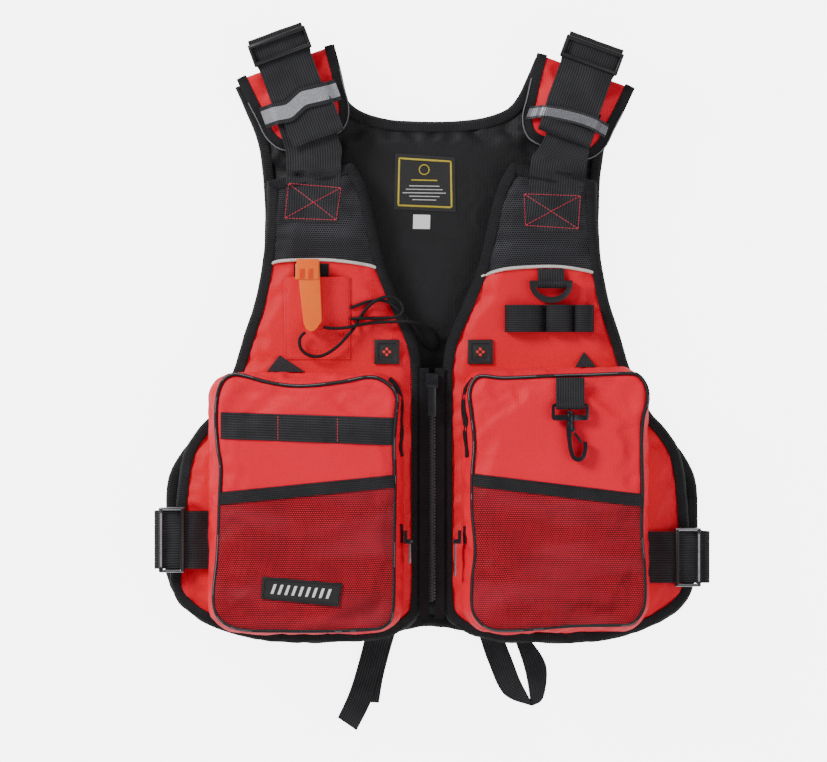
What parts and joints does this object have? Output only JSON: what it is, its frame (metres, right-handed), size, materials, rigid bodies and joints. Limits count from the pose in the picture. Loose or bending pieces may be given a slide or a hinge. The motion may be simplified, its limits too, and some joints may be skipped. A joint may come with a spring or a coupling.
{
  "type": "life jacket",
  "caption": "Paddling life jacket with two foam front panels that swing open on a foam back, zipped bellows pockets, net yoke, webbing buckles, whistle on a lanyard and a snap hook.",
  "frame": {"origin": "centre of the vest's footprint on the surface it lies on, without the lanyard", "axes": "+X towards the wearer's left, +Y from the hem to the neck, +Z out of the chest; the vest lies on its back"},
  "size_m": [0.506, 0.655, 0.0975],
  "materials": {
    "black_nylon": "woven nylon, matt",
    "foam": "closed-cell foam",
    "black_satin": "satin lining",
    "label_cloth": "woven label, blank",
    "webbing": "ribbed webbing",
    "painted_metal": "black enamel, glossy",
    "red_nylon": "woven nylon, slight sheen",
    "orange_plastic": "moulded, smooth",
    "rubber": "moulded, matt",
    "cord": "braided",
    "black_plastic": "moulded, satin",
    "reflective_tape": "silver, retroreflective",
    "black_net": "open net over black",
    "red_net": "open black net over red",
    "bright_metal": "plated"
  },
  "bodies": {
    "back": {"back_shell": "black_nylon", "back_foam": "foam", "back_lining": "black_satin", "back_binding": "black_nylon", "neck_label": "label_cloth", "right_crotch_strap": "webbing", "left_crotch_strap": "webbing", "right_shoulder_pad": "red_nylon", "right_shoulder_webbing": "webbing", "right_reflective_band": "reflective_tape", "right_rear_waist_webbing": "webbing", "left_shoulder_pad": "red_nylon", "left_shoulder_webbing": "webbing", "left_reflective_band": "reflective_tape", "left_rear_waist_webbing": "webbing"},
    "right_front": {"right_front_lining": "black_satin", "right_front_foam": "foam", "right_front_shell": "red_nylon", "right_net_yoke": "black_net", "right_front_binding": "black_nylon", "right_chest_webbing": "webbing", "right_waist_webbing": "webbing", "right_pocket": "red_nylon", "right_net_pocket": "red_net", "right_rubber_square": "rubber", "right_zip_half": "black_plastic", "whistle_pocket": "red_nylon", "pocket_webbing_strip": "webbing", "pocket_name_patch": "rubber", "lanyard_loop_run": "cord", "lanyard_short_run": "cord"},
    "left_front": {"left_front_lining": "black_satin", "left_front_foam": "foam", "left_front_shell": "red_nylon", "left_net_yoke": "black_net", "left_front_binding": "black_nylon", "left_chest_webbing": "webbing", "left_waist_webbing": "webbing", "left_pocket": "red_nylon", "left_net_pocket": "red_net", "left_rubber_square": "rubber", "left_zip_half": "black_plastic", "d_ring_tab": "webbing", "tool_loops": "webbing", "hook_tab": "webbing"},
    "right_shoulder_buckle": {"right_shoulder_buckle": "black_plastic"},
    "right_waist_buckle": {"right_waist_buckle": "black_plastic"},
    "right_pocket_slider": {"right_pocket_zip_slider": "painted_metal"},
    "right_pocket_pull": {"right_pocket_zip_pull": "bright_metal"},
    "left_shoulder_buckle": {"left_shoulder_buckle": "black_plastic"},
    "left_waist_buckle": {"left_waist_buckle": "black_plastic"},
    "left_pocket_slider": {"left_pocket_zip_slider": "painted_metal"},
    "left_pocket_pull": {"left_pocket_zip_pull": "bright_metal"},
    "main_slider": {"main_zip_slider": "painted_metal"},
    "main_pull": {"main_zip_pull": "painted_metal"},
    "whistle": {"whistle": "orange_plastic"},
    "d_ring": {"d_ring": "black_plastic"},
    "hook_eye": {"hook_eye": "painted_metal"},
    "snap_hook": {"snap_hook": "painted_metal"},
    "hook_gate": {"snap_hook_gate": "painted_metal"}
  },
  "joints": [
    {"name": "right_front_swing", "type": "hinge", "parent": "back", "child": "right_front", "pos_m": [-0.154, 0.193, 0.0248], "axis": [-0.2888, -0.9574, 0], "range_deg": [0, 70]},
    {"name": "right_shoulder_adjust", "type": "slide", "parent": "back", "child": "right_shoulder_buckle", "axis": [0.342, -0.9397, 0], "range_m": [0, 0.028]},
    {"name": "right_waist_adjust", "type": "slide", "parent": "right_front", "child": "right_waist_buckle", "axis": [1, 0, 0], "range_m": [0, 0.012]},
    {"name": "right_pocket_zip_slide", "type": "slide", "parent": "right_front", "child": "right_pocket_slider", "axis": [0, 1, 0], "range_m": [0, 0.11]},
    {"name": "right_pocket_pull_turn", "type": "hinge", "parent": "right_pocket_slider", "child": "right_pocket_pull", "pos_m": [-0.0203, -0.149, 0.0694], "axis": [0, 0, 1], "range_deg": [0, 100]},
    {"name": "left_front_swing", "type": "hinge", "parent": "back", "child": "left_front", "pos_m": [0.154, 0.193, 0.0248], "axis": [-0.2888, 0.9574, 0], "range_deg": [0, 70]},
    {"name": "left_shoulder_adjust", "type": "slide", "parent": "back", "child": "left_shoulder_buckle", "axis": [-0.342, -0.9397, 0], "range_m": [0, 0.028]},
    {"name": "left_waist_adjust", "type": "slide", "parent": "left_front", "child": "left_waist_buckle", "axis": [-1, 0, 0], "range_m": [0, 0.012]},
    {"name": "left_pocket_zip_slide", "type": "slide", "parent": "left_front", "child": "left_pocket_slider", "axis": [0, 1, 0], "range_m": [0, 0.11]},
    {"name": "left_pocket_pull_turn", "type": "hinge", "parent": "left_pocket_slider", "child": "left_pocket_pull", "pos_m": [0.0213, -0.149, 0.0694], "axis": [0, 0, -1], "range_deg": [0, 100]},
    {"name": "main_zip_slide", "type": "slide", "parent": "right_front", "child": "main_slider", "axis": [0, -1, 0], "range_m": [0, 0.19]},
    {"name": "main_pull_turn", "type": "hinge", "parent": "main_slider", "child": "main_pull", "pos_m": [0, -0.006, 0.0558], "axis": [-1, 0, 0], "range_deg": [0, 120]},
    {"name": "whistle_slide", "type": "slide", "parent": "right_front", "child": "whistle", "axis": [0, 1, 0], "range_m": [0, 0.035]},
    {"name": "d_ring_turn", "type": "hinge", "parent": "left_front", "child": "d_ring", "pos_m": [0.1095, 0.0875, 0.05403], "axis": [-1, 0, 0], "range_deg": [0, 110]},
    {"name": "hook_eye_turn", "type": "hinge", "parent": "left_front", "child": "hook_eye", "pos_m": [0.126, -0.024, 0.09362], "axis": [-1, 0, 0], "range_deg": [0, 110]},
    {"name": "hook_swivel", "type": "hinge", "parent": "hook_eye", "child": "snap_hook", "pos_m": [0.126, -0.039, 0.09362], "axis": [0, 1, 0], "range_deg": [-60, 12]},
    {"name": "hook_gate_turn", "type": "hinge", "parent": "snap_hook", "child": "hook_gate", "pos_m": [0.1297, -0.0491, 0.09362], "axis": [0, 0, -1], "range_deg": [0, 22], "stiffness_Nm_per_rad": 0.01, "springref_deg": -5.73}
  ]
}
